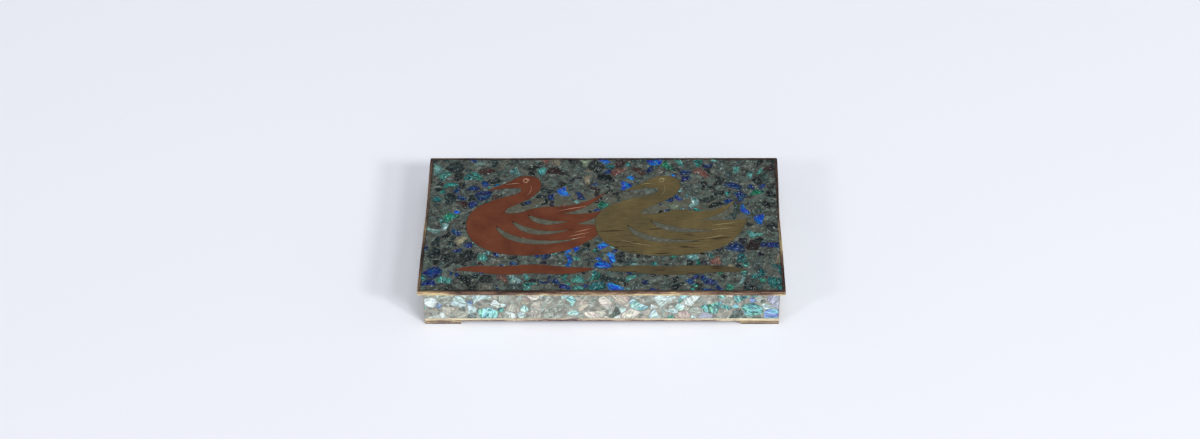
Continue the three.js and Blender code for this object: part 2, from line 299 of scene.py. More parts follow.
def resinColour(tree, look):
    # cloudy, with crumbs and dust of the same shell in it, and grime where it meets the rim
    place = addNode(tree, "TexCoord").outputs["Object"]
    clouds = addNode(tree, "TexNoise", {
        "Vector": place, "Scale": 1 / (6 * mm), "Detail": 9, "Roughness": 0.72,
    })
    tone = addNode(tree, "ValToRGB", {"Fac": clouds}, stops=[
        (0.36, look["dark"]), (0.5, look["body"]), (0.66, look["light"]),
    ])
    wobble = addNode(tree, "TexNoise", {"Vector": place, "Scale": 1 / (1.6 * mm), "Detail": 3})
    moved = addNode(tree, "VectorMath", {
        0: wobble.outputs["Color"], 1: Vector((2 * mm, 2 * mm, 2 * mm)), 2: place,
    }, operation="MULTIPLY_ADD")
    crumbs = addNode(tree, "TexVoronoi", {"Vector": moved, "Scale": 1 / (look["crumb"] * mm)})
    chance = addNode(tree, "SeparateColor", {"Color": crumbs.outputs["Color"]})
    crumbTone = addNode(tree, "ValToRGB", {"Fac": chance.outputs["Red"]}, stops=zip(
        (0.08, 0.3, 0.5, 0.7, 0.86, 0.97), look["crumbs"],
    ))
    mixed = addNode(tree, "Mix", {"Factor": look["share"], "A": tone, "B": crumbTone}, data_type="RGBA")
    dust = addNode(tree, "TexVoronoi", {"Vector": moved, "Scale": 1 / (1.7 * mm)})
    dustChance = addNode(tree, "SeparateColor", {"Color": dust.outputs["Color"]})
    rare = addNode(tree, "MapRange", {
        "Value": dustChance.outputs["Green"], "From Min": 0.78, "From Max": 0.8,
        "To Max": look["fleckShare"],
    })
    small = addNode(tree, "MapRange", {
        "Value": dust, "From Min": 0.12, "From Max": 0.28, "To Min": 1, "To Max": 0,
    })
    fleck = addNode(tree, "Math", {0: rare, 1: small}, operation="MULTIPLY")
    flecked = addNode(tree, "Mix", {
        "Factor": fleck, "A": mixed, "B": colour(look["fleck"]),
    }, data_type="RGBA")
    spot = addNode(tree, "SeparateXYZ", {"Vector": place})
    borders = []
    for axis, half in (("X", look["halfWidth"]), ("Y", look["halfHeight"])):
        out = addNode(tree, "Math", {0: spot.outputs[axis]}, operation="ABSOLUTE")
        borders.append(addNode(tree, "MapRange", {
            "Value": out, "From Min": (half - look["grimeWidth"]) * mm, "From Max": half * mm,
            "To Max": 0.8,
        }))
    border = addNode(tree, "Math", {0: borders[0], 1: borders[1]}, operation="MAXIMUM")
    grimy = addNode(tree, "Mix", {
        "Factor": border, "A": flecked, "B": colour(look["grime"]),
    }, data_type="RGBA")
    return grimy, clouds


def makeResin(name, look, fill=None):
    # Filled casting resin, sanded and waxed: dull and cloudy, faintly uneven
    material, tree, shader = newMaterial(name, {"IOR": 1.5, "Specular IOR Level": look["shine"]})
    tone, clouds = resinColour(tree, look)
    if fill:
        place = addNode(tree, "TexCoord").outputs["Object"]
        oval = addNode(tree, "Mapping", {
            "Vector": place, "Location": (fill["x"] * mm, fill["y"] * mm, 0),
            "Scale": (fill["halfWidth"] * mm, fill["halfHeight"] * mm, 1),
        }, vector_type="TEXTURE")
        away = addNode(tree, "VectorMath", {0: oval}, operation="LENGTH")
        inside = addNode(tree, "MapRange", {
            "Value": away, "From Min": 0.9, "From Max": 1.05, "To Min": fill["share"], "To Max": 0,
        })
        tone = addNode(tree, "Mix", {
            "Factor": inside, "A": tone, "B": colour(fill["tone"]),
        }, data_type="RGBA")
    dull = addNode(tree, "MapRange", {
        "Value": clouds, "From Min": 0.35, "From Max": 0.65, "To Min": look["roughness"] - 0.06,
        "To Max": look["roughness"] + 0.08,
    })
    bump = addNode(tree, "Bump", {"Height": clouds, "Strength": 0.25, "Distance": 0.04 * mm})
    feed(tree, shader, {"Base Color": tone, "Roughness": dull, "Normal": bump})
    return material


def makeShell(name, look, resin):
    # Chips of shell and stone, ground flat: nacre in bands along its growth lines, sparks of painted
    # iridescent flash, painted glints, a painted iridescent sheen, painted shade towards each chip's rim,
    # and edges that sink under the cloudy resin
    material, tree, shader = newMaterial(name, {"IOR": 1.55, "Specular IOR Level": look["shine"]})
    tone = addNode(tree, "Attribute", attribute_name="chipTone")
    flash = addNode(tree, "Attribute", attribute_name="chipFlash")
    grain = addNode(tree, "Attribute", attribute_name="chipGrain").outputs["Vector"]
    middle = addNode(tree, "Attribute", attribute_name="chipMiddle").outputs["Fac"]
    growth = addNode(tree, "TexNoise", {
        "Vector": grain, "Scale": look["layer"], "Detail": 3, "Distortion": 0.8,
    })
    lines = addNode(tree, "Math", {0: growth, 1: look["bands"]}, operation="MULTIPLY")
    bands = addNode(tree, "Math", {0: lines, 1: 1}, operation="PINGPONG")
    banded = addNode(tree, "MapRange", {
        "Value": bands, "From Min": 0.3, "From Max": 0.9, "To Max": look["bandShare"],
    })
    # sparks of painted iridescent flash: the streak tone where the layers' noise peaks
    layers = addNode(tree, "TexNoise", {
        "Vector": grain, "Scale": look["spark"], "Detail": 5, "Roughness": 0.65, "Distortion": 0.6,
    })
    sparks = addNode(tree, "MapRange", {
        "Value": layers, "From Min": look["flashFrom"], "From Max": look["flashTo"],
    })
    bright = addNode(tree, "Math", {0: banded, 1: sparks}, operation="ADD", use_clamp=True)
    layered = addNode(tree, "Mix", {"Factor": bright, "A": tone, "B": flash}, data_type="RGBA")
    # painted glints: the streak tone whitened where fine noise peaks
    tips = addNode(tree, "TexNoise", {"Vector": grain, "Scale": 1.5, "Detail": 2})
    glint = addNode(tree, "MapRange", {
        "Value": tips, "From Min": look["glintFrom"], "From Max": look["glintFrom"] + 0.05,
        "To Max": 0.8,
    })
    whiter = addNode(tree, "Mix", {"Factor": 0.45, "A": flash, "B": colour("#eefcf6")}, data_type="RGBA")
    glinting = addNode(tree, "Mix", {"Factor": glint, "A": layered, "B": whiter}, data_type="RGBA")
    # painted iridescent sheen: the hue shifted by slow noise
    sheen = addNode(tree, "TexNoise", {
        "Vector": grain, "Scale": look["sheenScale"], "Detail": 2, "Distortion": 0.5,
    })
    hue = addNode(tree, "MapRange", {
        "Value": sheen, "From Min": 0.35, "From Max": 0.65, "To Min": 0.5 - look["sheen"],
        "To Max": 0.5 + look["sheen"],
    })
    iridescent = addNode(tree, "HueSaturation", {
        "Saturation": look["vivid"], "Hue": hue, "Color": glinting,
    })
    fine = addNode(tree, "TexNoise", {"Vector": grain, "Scale": 0.9, "Detail": 6, "Roughness": 0.7})
    # brightness uneven by noise, and painted shade: each chip darker towards its rim, down to rimTone
    depth = addNode(tree, "MapRange", {
        "Value": fine, "From Min": 0.3, "From Max": 0.7, "To Min": 1 - look["depth"],
        "To Max": 1 + look["depth"],
    })
    rimShade = addNode(tree, "MapRange", {
        "Value": middle, "From Max": look["rimWidth"], "To Min": look["rimTone"],
    })
    shade = addNode(tree, "Math", {0: depth, 1: rimShade}, operation="MULTIPLY")
    shaded = addNode(tree, "Mix", {
        "Factor": 1, "A": iridescent, "B": shade,
    }, data_type="RGBA", blend_type="MULTIPLY")
    place = addNode(tree, "TexCoord").outputs["Object"]
    haze = addNode(tree, "TexNoise", {
        "Vector": place, "Scale": 1 / (2.6 * mm), "Detail": 5, "Roughness": 0.7,
    })
    covered = addNode(tree, "MapRange", {
        "Value": haze, "From Min": 0.46, "From Max": 0.66, "To Max": look["veil"],
    })
    frayed = addNode(tree, "Math", {0: haze, 1: look["fray"], 2: middle}, operation="MULTIPLY_ADD")
    edges = addNode(tree, "MapRange", {
        "Value": frayed, "From Min": look["fray"] * 0.4, "From Max": look["fray"] * 0.5 + look["edge"],
        "To Min": look["edgeVeil"], "To Max": 0,
    }, interpolation_type="SMOOTHSTEP")
    hidden = addNode(tree, "Math", {0: covered, 1: edges}, operation="MAXIMUM")
    veiled = addNode(tree, "Mix", {
        "Factor": hidden, "A": shaded, "B": resinColour(tree, resin)[0],
    }, data_type="RGBA")
    dull = addNode(tree, "MapRange", {
        "Value": fine, "From Min": 0.3, "From Max": 0.7, "To Min": look["roughness"] - 0.08,
        "To Max": look["roughness"] + 0.08,
    })
    feed(tree, shader, {"Base Color": veiled, "Roughness": dull})
    return material


rimBrass = makeStripBrass("brassRimTarnishedPaintedLight", stripLooks["rim"])
baseBrass = makeStripBrass("brassStripRubbedPaintedLight", stripLooks["base"])
footBrass = makeStripBrass("brassFootTarnishedPaintedLight", stripLooks["foot"])
copperFinish = makeCopperSheet()
oliveFinish = makeBrassSheet("brassSheetSanded", brassSheet)
rippleFinish = makeBrassSheet("brassSheetTarnished", dullBrassSheet)
copperCut = makeEngraving("copperFreshCut", "#c99a80")
brassCut = makeEngraving("brassFreshCut", "#a3946a")
darkResinFinish = makeResin("resinDark", darkResin, slotFill)
paleResinFinish = makeResin("resinPale", paleResin)
darkShell = makeShell("abaloneChipsDark", {
    "layer": 0.2, "bands": 6, "bandShare": 0.28, "spark": 0.8, "flashFrom": 0.58, "flashTo": 0.65,
    "depth": 0.65, "veil": 0.4, "roughness": 0.38, "shine": 0.18,
    "glintFrom": 0.62, "sheenScale": 0.3, "sheen": 0.032, "vivid": 1,
    "fray": 0.5, "edge": 0.2, "edgeVeil": 0.75, "rimTone": 0.5, "rimWidth": 0.7,
}, darkResin)
paleShell = makeShell("abaloneChipsPale", {
    "layer": 0.16, "bands": 9, "bandShare": 0.85, "spark": 0.4, "flashFrom": 0.52, "flashTo": 0.62,
    "depth": 0.5, "veil": 0.3, "roughness": 0.3, "shine": 0.5,
    "glintFrom": 0.62, "sheenScale": 0.22, "sheen": 0.06, "vivid": 1.1,
    "fray": 0.3, "edge": 0.1, "edgeVeil": 0.4, "rimTone": 0.5, "rimWidth": 0.16,
}, paleResin)
print("materials ready")

# Crushed chips: scattered in a flat field, cut against their neighbours, and set in the resin

chipWork = {
    "sizeSpread": (0.82, 1.2),
    "cornerSpread": (0.8, 1.2),  # of the rough round that a chip starts as
    "stretch": 1.4,
    "closeness": 0.68,  # two chips may start this near, as a share of their sizes
    "cleaving": 1.6,  # and cut each other when nearer than this
    "wallReach": 2,  # a chip looks this far for walls, as a share of its size
    "merging": 2.5,  # rounded corners nearer than this become one, as a share of the softening
    "depth": 0.5 * mm,
    "lean": 0.012,
    "grain": (0.45, 1.5),  # the shell's layers are drawn out along x and close along y
}


def scatterChips(field, room, rng):
    # big chips are thrown first and small ones fill in between
    placed = []
    squares = {}
    # chips are filed in squares this wide, and compared with near ones only
    square = 2 * field["sizeSpread"][1] * max(field["throws"])

    def around(x, y):
        column, row = int(x // square), int(y // square)
        return [
            chip for dx in (-1, 0, 1) for dy in (-1, 0, 1)
            for chip in squares.get((column + dx, row + dy), [])
        ]

    for size, throws in field["throws"].items():
        for _ in range(throws):
            x = rng.uniform(-0.5, 0.5) * field["width"]
            y = rng.uniform(-0.5, 0.5) * field["height"]
            space = room(x, y)
            radius = min(size * rng.uniform(*field["sizeSpread"]), space)
            if radius < field["smallest"]:
                continue
            if any(
                math.hypot(x - chip[0], y - chip[1]) < field["closeness"] * (radius + chip[2])
                for chip in around(x, y)
            ):
                continue
            chip = (x, y, radius, min(radius * field["swell"], space))
            squares.setdefault((int(x // square), int(y // square)), []).append(chip)
            placed.append(chip)
    neighbours = []
    for x, y, radius, _ in placed:
        neighbours.append([
            chip for chip in around(x, y)
            if 0 < math.hypot(x - chip[0], y - chip[1]) < field["cleaving"] * (radius + chip[2])
        ])
    return placed, neighbours


def cutChip(place, neighbours, field, walls, rng):
    # one chip: a rough round, cleaved by its neighbours, the field's edge and the walls near it, then
    # rounded and given its depth
    x, y, radius, drawn = place
    chip = bmesh.new()
    bmesh.ops.create_circle(chip, cap_ends=True, segments=rng.choice((6, 7, 8, 9)), radius=1)
    for corner in chip.verts:
        corner.co *= rng.uniform(*field["cornerSpread"])
    stretch = rng.uniform(1, field["stretch"])
    bmesh.ops.scale(chip, vec=(drawn * stretch, drawn / stretch ** 0.5, 1), verts=chip.verts)
    bmesh.ops.rotate(
        chip, cent=(0, 0, 0), matrix=Matrix.Rotation(rng.uniform(0, math.pi), 3, "Z"), verts=chip.verts,
    )
    bmesh.ops.translate(chip, vec=(x, y, 0), verts=chip.verts)
    cuts = []
    for otherX, otherY, otherRadius, _ in neighbours:
        away = Vector((otherX - x, otherY - y, 0))
        share = radius / (radius + otherRadius)
        cuts.append((Vector((x, y, 0)) + away * share - away.normalized() * field["seam"] / 2, away))
    half = Vector((field["width"] / 2, field["height"] / 2, 0)) - Vector((field["seam"],) * 3)
    for side in ((1, 0, 0), (0, 1, 0), (-1, 0, 0), (0, -1, 0)):
        cuts.append((Vector((side[0] * half.x, side[1] * half.y, 0)), side))
    for point, direction in cuts + walls(x, y, field["wallReach"] * drawn):
        cutThrough(chip, point, direction, clear_outer=True)
    if sum(face.calc_area() for face in chip.faces) < field["smallest"] ** 2:
        chip.free()
        return None, None
    bevel(chip, chip.verts[:], field["rounding"] * drawn, 2, "VERTICES")
    bmesh.ops.remove_doubles(chip, verts=chip.verts, dist=field["merging"] * field["softening"])
    raised = bmesh.ops.extrude_face_region(chip, geom=chip.faces[:])["geom"]
    leanX = rng.gauss(0, field["lean"])
    leanY = rng.gauss(0, field["lean"])
    for corner in chip.verts:
        if corner in raised:
            rise = leanX * (corner.co.x - x) + leanY * (corner.co.y - y)
            corner.co.z = min(field["proud"] + rise, field["proudest"])
        else:
            corner.co.z = -field["depth"]
    bmesh.ops.recalc_face_normals(chip, faces=chip.faces)
    rim = [edge for edge in chip.edges if all(corner in raised for corner in edge.verts)]
    bevel(chip, rim, field["softening"], 1, "EDGES")
    chip.normal_update()
    top = max(chip.faces, key=lambda face: face.normal.z * face.calc_area())
    middle = bmesh.ops.poke(chip, faces=[top], offset=0, center_mode="MEAN_WEIGHTED")["verts"][0]
    return chip, middle.co.copy()


def setChips(shape, field, turn, room, walls, pickTone, seed):
    # fills the shape with chips; returns each chip's count of faces, tones, grain and middle
    rng = random.Random(seed)
    placed, neighbours = scatterChips(field, room, rng)
    holder = bpy.data.meshes.new("oneChip")
    looks = []
    for place, around in zip(placed, neighbours):
        chip, middle = cutChip(place, around, field, walls, rng)
        if chip is None:
            continue
        tone, flash = pickTone(place, rng)
        angle = rng.uniform(0, math.pi)
        shift = Vector((rng.uniform(0, 90), rng.uniform(0, 90), rng.uniform(0, 90)))
        looks.append((len(chip.faces), tone, flash, angle, shift, middle))
        for face in chip.faces:
            face.material_index = 1
        bmesh.ops.transform(chip, matrix=turn, verts=chip.verts)
        chip.to_mesh(holder)
        chip.free()
        shape.from_mesh(holder)
    bpy.data.meshes.remove(holder)
    return looks


def paintChips(mesh, looks, turn):
    # body tone, streak tone, grain place in mm, and 1 at the chip's middle, for every face corner
    corners = len(mesh.loops)
    tones = [1.0] * (4 * corners)
    flashes = [1.0] * (4 * corners)
    grains = [0.0] * (3 * corners)
    middles = [0.0] * corners
    flat = turn.inverted()
    sameSpot = 0.01 * mm
    along, across = chipWork["grain"]
    index = 0
    for count, tone, flash, angle, shift, middle in looks:
        rotation = Matrix.Rotation(angle, 3, "Z")
        for face in mesh.polygons[index:index + count]:
            for corner in face.loop_indices:
                spot = flat @ mesh.vertices[mesh.loops[corner].vertex_index].co
                middles[corner] = float((spot - middle).length < sameSpot)
                spot = rotation @ spot / mm
                tones[4 * corner:4 * corner + 4] = tone
                flashes[4 * corner:4 * corner + 4] = flash
                grain = Vector((spot.x * along, spot.y * across, spot.z)) + shift
                grains[3 * corner:3 * corner + 3] = grain
        index += count
    addAttribute(mesh, "chipTone", "FLOAT_COLOR", "color", tones)
    addAttribute(mesh, "chipFlash", "FLOAT_COLOR", "color", flashes)
    addAttribute(mesh, "chipGrain", "FLOAT_VECTOR", "vector", grains)
    addAttribute(mesh, "chipMiddle", "FLOAT", "value", middles)


def makeMosaic(name, resin, field, turn, space, pickTone, seed, finishes):
    # the chips come first in the mesh, then the resin, in the solid's own shape
    shape = bmesh.new()
    looks = setChips(shape, field, turn, *space, pickTone, seed)
    ground = meshFrom(resin, "ground", [])
    shape.from_mesh(ground)
    bpy.data.meshes.remove(ground)
    mesh = meshFrom(shape, name, finishes)
    paintChips(mesh, looks, turn)
    print(name, "has", len(looks), "chips and", len(mesh.polygons), "faces")
    return mesh


# Families of chips: how common each is, and its pairs of body tone and streak tone
lidFamilies = {
    "greyGreen": (30, [
        ("#3a423e", "#6a7f77"), ("#2e3a3a", "#5d7269"), ("#4a4b43", "#7f8376"), ("#263232", "#486a65"),
        ("#3f4a44", "#788a7f"),
    ]),
    "slate": (29, [("#0a1013", "#28464a"), ("#101417", "#3a4642"), ("#050809", "#18292e")]),
    "navy": (15, [("#0a1a3c", "#0c468c"), ("#081d4a", "#0e55a8"), ("#121f46", "#1c589e")]),
    "cobalt": (3, [("#003490", "#0a8aec"), ("#0048b6", "#34bcfc")]),
    "teal": (10, [("#0f3b3c", "#4cccbc"), ("#0c3038", "#38a8a2"), ("#164644", "#84f0dc")]),
    "emerald": (2, [("#05402f", "#1eae88"), ("#084c3e", "#40cea6")]),
    "aqua": (4, [("#27595a", "#aeece0"), ("#35696a", "#d0f2ea")]),
    "plum": (7, [("#1c1417", "#4b322f"), ("#29191a", "#5f3f36"), ("#12111c", "#2e2a44")]),
    "cream": (5, [
        ("#6b6452", "#b4ac90"), ("#5b5648", "#9a937e"), ("#5c3c33", "#a4746a"), ("#5c6a56", "#a6b494"),
    ]),
}
sideFamilies = {
    "white": (33, [
        ("#a2b0ac", "#dcf0ec"), ("#aeb8b2", "#e6f2ee"), ("#8ea2a0", "#d0eae8"), ("#aeaba0", "#e4ddd1"),
    ]),
    "grey": (24, [("#868a80", "#b8beb2"), ("#949287", "#c0beb0"), ("#787e76", "#a8b4a6")]),
    "aqua": (20, [("#6a9c9e", "#cdf0ee"), ("#4e8a90", "#b4e4e4"), ("#80aeaa", "#e2fcf6")]),
    "teal": (9, [("#24605c", "#8cd2c8"), ("#18504c", "#64bab0"), ("#307268", "#b0ece0")]),
    "blue": (2, [("#5b7a98", "#a2c4dc"), ("#5274a0", "#94b8e0")]),
    "lavender": (3, [("#878a98", "#b4b8c8")]),
    "pink": (5, [("#a0968a", "#cfc6b8"), ("#93897e", "#c2b6aa")]),
    "slate": (9, [("#3e4845", "#667670"), ("#2e3a39", "#56695f")]),
}

# Where a kind of chip gathers: x, y and reach in mm on the field, and how strongly
lidGatherings = {
    "cobalt": [(-20, -23, 6, 60), (-9, -28, 7, 70), (43, 45, 4, 73), (-84, 6, 5, 29), (-66, -29, 7, 12)],
    "navy": [(-90, -46, 9, 20), (-74, -14, 8, 7), (52, -50, 8, 8), (76, 22, 8, 7)],
    "teal": [(-14, -48, 10, 8), (78, 42, 8, 6)],
    "emerald": [(26, -50, 7, 19), (6, -22, 5, 14)],
    "aqua": [(-58, 43, 9, 6)],
    "cream": [(70, 39, 5, 11), (-8, 46, 12, 7)],
    "plum": [(84, -12, 8, 8)],
    "greyGreen": [(92, 8, 24, 4)],
}
frontGatherings = {
    "grey": [(-27, 2, 15, 6), (24, 6, 9, 4), (70, 0, 22, 2)],
    "pink": [(24, 2, 12, 2), (76, 4, 5, 6)],
    "teal": [(84, 2, 13, 8), (60, 2, 9, 5)],
    "blue": [(92, -5, 5, 30), (-75, 6, 8, 5), (-56, -6, 7, 5)],
    "slate": [(94, 4, 5, 14)],
    "white": [(-62, 0, 26, 3), (10, -5, 16, 3)],
    "aqua": [(-60, 0, 22, 2)],
}


def toneNear(families, gatherings, drift):
    # chips of one kind drift together, and gather most at the given spots
    def pick(place, rng):
        x, y = place[0] / mm, place[1] / mm
        weights = []
        for index, (name, (common, _)) in enumerate(families.items()):
            level = 3.7 * index  # a slice of the noise for each kind
            slow = noise.noise(Vector((x / drift["reach"], y / drift["reach"], level)))
            favour = math.exp(drift["strength"] * slow)
            for spotX, spotY, reach, gain in gatherings.get(name, []):
                away = math.hypot(x - spotX, y - spotY) / reach
                if away < 2:
                    favour += gain * math.exp(-away * away)
            weights.append(common * favour)
        kind = rng.choices(list(families), weights)[0]
        tone, flash = rng.choice(families[kind][1])
        return colour(tone), colour(flash)
    return pick


# Lid: its two ends bow inwards a little, as the photo shows; places and depths in mm
lidBow = {
    "from": 88, "cuts": 12,
    "left": {"y": 12, "reach": 27, "depth": 0.42},
    "right": {"y": 6, "reach": 27, "depth": 0.56},
}


def bowIn(spot):
    # how far a point near an end of the lid moves inwards along x
    side = lidBow["right" if spot.x > 0 else "left"]
    outer = (abs(spot.x) / mm - lidBow["from"]) / (lidHigh.x / mm - lidBow["from"])
    along = (spot.y / mm - side["y"]) / side["reach"]
    inwards = side["depth"] * mm * max(0, outer) ** 2 * math.exp(-along * along)
    return -math.copysign(inwards, spot.x)


# Lid mosaic: resin with its chips, around the sheet-metal figures

lidLow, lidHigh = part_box("lid_ground")
lidField = {
    **chipWork,
    "width": lidHigh.x - lidLow.x,
    "height": lidHigh.y - lidLow.y,
    "throws": {6 * mm: 400, 4.8 * mm: 1600, 3.6 * mm: 3000, 2.4 * mm: 2000},  # by a chip's radius
    "smallest": 1.2 * mm,
    "swell": 1.2,  # how much a chip grows into its neighbours, before they cut each other
    "rounding": 0.2,  # of a chip's corners, as a share of its size
    "seam": 0.1 * mm,
    "proud": 0.012 * mm,
    "proudest": 0.035 * mm,
    "softening": 0.06 * mm,
    "clear": 0.7 * mm,  # plain resin beside the metal
    "slot": 7 * mm,  # and between two edges of metal nearer than this
    "overMetal": 1.7,  # how far a chip's rough round may reach for the metal, which then cleaves it
    "leastReach": 0.3 * mm,
    "insideSheet": 0.3 * mm,  # a height within the figures' thickness, below their top
    "rays": 16,
}


def lidSpace():
    # two functions: how big a chip may be at a spot, and where the metal round it cleaves it
    figures = bmesh.new()
    for name in ("copper_bird", "brass_bird", "copper_ripple", "brass_ripple"):
        figures.from_mesh(nodes[name].data)
    metal = BVHTree.FromBMesh(figures)
    figures.free()
    middle = lidHigh.z - lidField["insideSheet"]
    turns = [2 * math.pi * step / lidField["rays"] for step in range(lidField["rays"])]
    around = [Vector((math.cos(turn), math.sin(turn), 0)) for turn in turns]

    def room(x, y):
        if metal.ray_cast(Vector((x, y, lidHigh.z + mm)), Vector((0, 0, -1)))[0] is not None:
            return 0
        spot = Vector((x, y, middle))
        away = metal.find_nearest(spot)[3]
        hits = [metal.ray_cast(spot, Vector((0, side, 0)), lidField["slot"])[0] for side in (-1, 1)]
        if away < lidField["clear"] or None not in hits:
            return 0
        return lidField["overMetal"] * away + lidField["leastReach"]

    def walls(x, y, reach):
        cuts = []
        for direction in around:
            point, normal = metal.ray_cast(Vector((x, y, middle)), direction, reach)[:2]
            if point is not None and abs(normal.z) < 0.5:  # an upright side of a figure
                inwards = Vector((-normal.x, -normal.y, 0)).normalized()
                inwards *= math.copysign(1, inwards.dot(direction))
                cuts.append((Vector((point.x, point.y, 0)) - inwards * lidField["seam"], inwards))
        return cuts
    return room, walls


def lidResin():
    # the solid, cut across near its two ends so that it can bow with the rim
    shape = copyOfNode("lid_ground")
    for end in (-1, 1):
        edge = Vector((end * lidBow["from"] * mm, 0, 0))
        cutThrough(shape, edge, (1, 0, 0))
        for cut in range(1, lidBow["cuts"]):
            middle = lidLow.lerp(lidHigh, cut / lidBow["cuts"])
            faces = [face for face in shape.faces if face.calc_center_median().x * end > edge.x * end]
            edges = {edge for face in faces for edge in face.edges}
            corners = {corner for face in faces for corner in face.verts}
            outer = [*corners, *edges, *faces]
            bmesh.ops.bisect_plane(shape, geom=outer, plane_co=middle, plane_no=(0, 1, 0))
    return shape


lidMosaic = makeMosaic(
    "lidMosaic", lidResin(), lidField, Matrix.Translation((0, 0, lidHigh.z)), lidSpace(),
    toneNear(lidFamilies, lidGatherings, {"reach": 15, "strength": 3.6}), 7,
    [darkResinFinish, darkShell],
)
for corner in lidMosaic.vertices:
    corner.co.x += bowIn(corner.co)
addPiece(lidMosaic, "lid_ground")

# Side mosaics: paler and coarser

sideField = {
    **chipWork,
    "throws": {7.2 * mm: 50, 5.4 * mm: 260, 3.8 * mm: 800, 2.3 * mm: 1500},
    "smallest": 1 * mm,
    "swell": 1.3,
    "rounding": 0.3,
    "seam": 0.2 * mm,
    "proud": 0.02 * mm,
    "proudest": 0.06 * mm,
    "softening": 0.08 * mm,
}
sides = [
    {
        "node": "inlay_front", "across": (1, 0, 0), "out": (0, -1, 0), "seed": 21,
        "gatherings": frontGatherings,
    },
    {"node": "inlay_back", "across": (-1, 0, 0), "out": (0, 1, 0), "seed": 22},
    {"node": "inlay_left", "across": (0, -1, 0), "out": (-1, 0, 0), "seed": 23},
    {"node": "inlay_right", "across": (0, 1, 0), "out": (1, 0, 0), "seed": 24},
]


def makeSideMosaic(side):
    low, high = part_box(side["node"])
    size = high - low
    across = Vector(side["across"])
    outward = Vector(side["out"])
    middle = (low + high) / 2
    face = middle + Vector([outward[axis] * size[axis] / 2 for axis in range(3)])
    turn = Matrix.Translation(face) @ Matrix((across, (0, 0, 1), outward)).transposed().to_4x4()
    field = {**sideField, "width": abs(across.dot(size)), "height": size.z}
    mesh = makeMosaic(
        side["node"].replace("inlay_", "mosaic_"), copyOfNode(side["node"]), field, turn,
        (lambda x, y: 1, lambda x, y, reach: []),
        toneNear(sideFamilies, side.get("gatherings", {}), {"reach": 15, "strength": 1.6}), side["seed"],
        [paleResinFinish, paleShell],
    )
    addPiece(mesh, side["node"])


for side in sides:
    makeSideMosaic(side)

# Sheet metal of the lid and box: sliced fine enough to carry the small waves of hand work

sheetWork = {
    "slice": 2.6 * mm,
    "wave": 0.16 * mm,
    "waveLength": 16 * mm,
    "dent": 0.12 * mm,
    "dentLength": 3.5 * mm,
    "dentFrom": 0.15,  # of the noise, and only what stands above it dents
    "sharpAngle": 32,
    "lidEdge": 2.6 * mm,  # the lid is uneven this far down from its top
    "lidRim": 2 * mm,  # and this far in from its outside
    "lidSide": 1 * mm,  # a corner this near the lid's outside moves in with it
    "face": 0.5 * mm,  # and this near the rim's top or the box's outside
    "topShare": 0.5,  # of the unevenness, on the rim's top
    "stripHeight": 2.2 * mm,
    "stripShare": 0.7,  # of the unevenness, on the bottom strip
}


def sliceSheet(shape, low, high):
    for axis in (0, 1):
        direction = Vector((axis == 0, axis == 1, 0))
        cuts = int((high[axis] - low[axis]) / sheetWork["slice"])
        for cut in range(1, cuts):
            cutThrough(shape, low + (high - low) * cut / cuts, direction)


# Where hands have rubbed a strip gold or, below 0, tarnish has kept it brown, with painted light and
# shade
# among them: the right rim's gold top is a painted highlight and the dark patch low on the front's base
# strip a painted shadow line. x, y and reach in mm on the box, and how much
rubsAndLight = {
    "rim": [
        (-94, -57, 10, 0.16), (-60, -57, 16, -0.06), (-5, -57, 16, 0.1), (36, -57, 24, 0.13),
        (101, -13, 17, 0.22), (101, -21, 7, 0.18), (101, 30, 26, -0.1), (-101, -46, 9, 0.24),
        (-101, -29, 7, -0.12), (-101, -8, 10, 0.2), (-101, 24, 16, 0.12), (0, 57, 90, -0.06),
    ],
    "base": [(-80, -55, 26, 0.05), (-18, -55, 24, -0.12), (88, -55, 14, 0.12)],
    "foot": [(92, -55, 14, 0.02), (-88, -55, 14, 0.02)],
}


def paintStrips(mesh, kind):
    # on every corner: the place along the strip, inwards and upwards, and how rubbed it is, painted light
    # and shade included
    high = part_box("lid_tray")[1]
    outer = 4 * mm  # counts for the strip's lower edge, and the lid's lip lies further in
    sideShift = 0.4  # so that the ends don't repeat the front's streaks
    bottom = min(corner.co.z for corner in mesh.vertices if high.x - abs(corner.co.x) < outer)
    places = [0.0] * (3 * len(mesh.loops))
    rubbedAndLit = [0.0] * len(mesh.loops)
    for face in mesh.polygons:
        insideX = high.x - abs(face.center.x)
        insideY = high.y - abs(face.center.y)
        for corner in face.loop_indices:
            spot = mesh.vertices[mesh.loops[corner].vertex_index].co
            if insideY < insideX:
                place = (spot.x, high.y - abs(spot.y), spot.z - bottom)
            else:
                place = (spot.y + sideShift, high.x - abs(spot.x), spot.z - bottom)
            places[3 * corner:3 * corner + 3] = [value / mm for value in place]
            for x, y, reach, gain in rubsAndLight[kind]:
                away = math.hypot(spot.x / mm - x, spot.y / mm - y) / reach
                rubbedAndLit[corner] += gain * math.exp(-away * away)
    addAttribute(mesh, "stripPlace", "FLOAT_VECTOR", "vector", places)
    addAttribute(mesh, "stripRubbedAndLit", "FLOAT", "value", rubbedAndLit)


def unevenness(point):
    # how far hand work leaves a spot inwards, from slow waves and a few short dents
    wave = noise.noise(point / sheetWork["waveLength"]) * 0.5 + 0.5
    rough = noise.noise(point / sheetWork["dentLength"] + Vector((7, 3, 1)))
    dent = max(0, rough - sheetWork["dentFrom"])
    return wave * sheetWork["wave"] + dent * sheetWork["dent"] * 2


def addBrass(shape, name, kind, finish, solid):
    # smooth but for its true edges
    mesh = meshFrom(shape, name, [finish])
    paintStrips(mesh, kind)
    for face in mesh.polygons:
        face.use_smooth = True
    mesh.set_sharp_from_angle(angle=math.radians(sheetWork["sharpAngle"]))
    addPiece(mesh, solid)


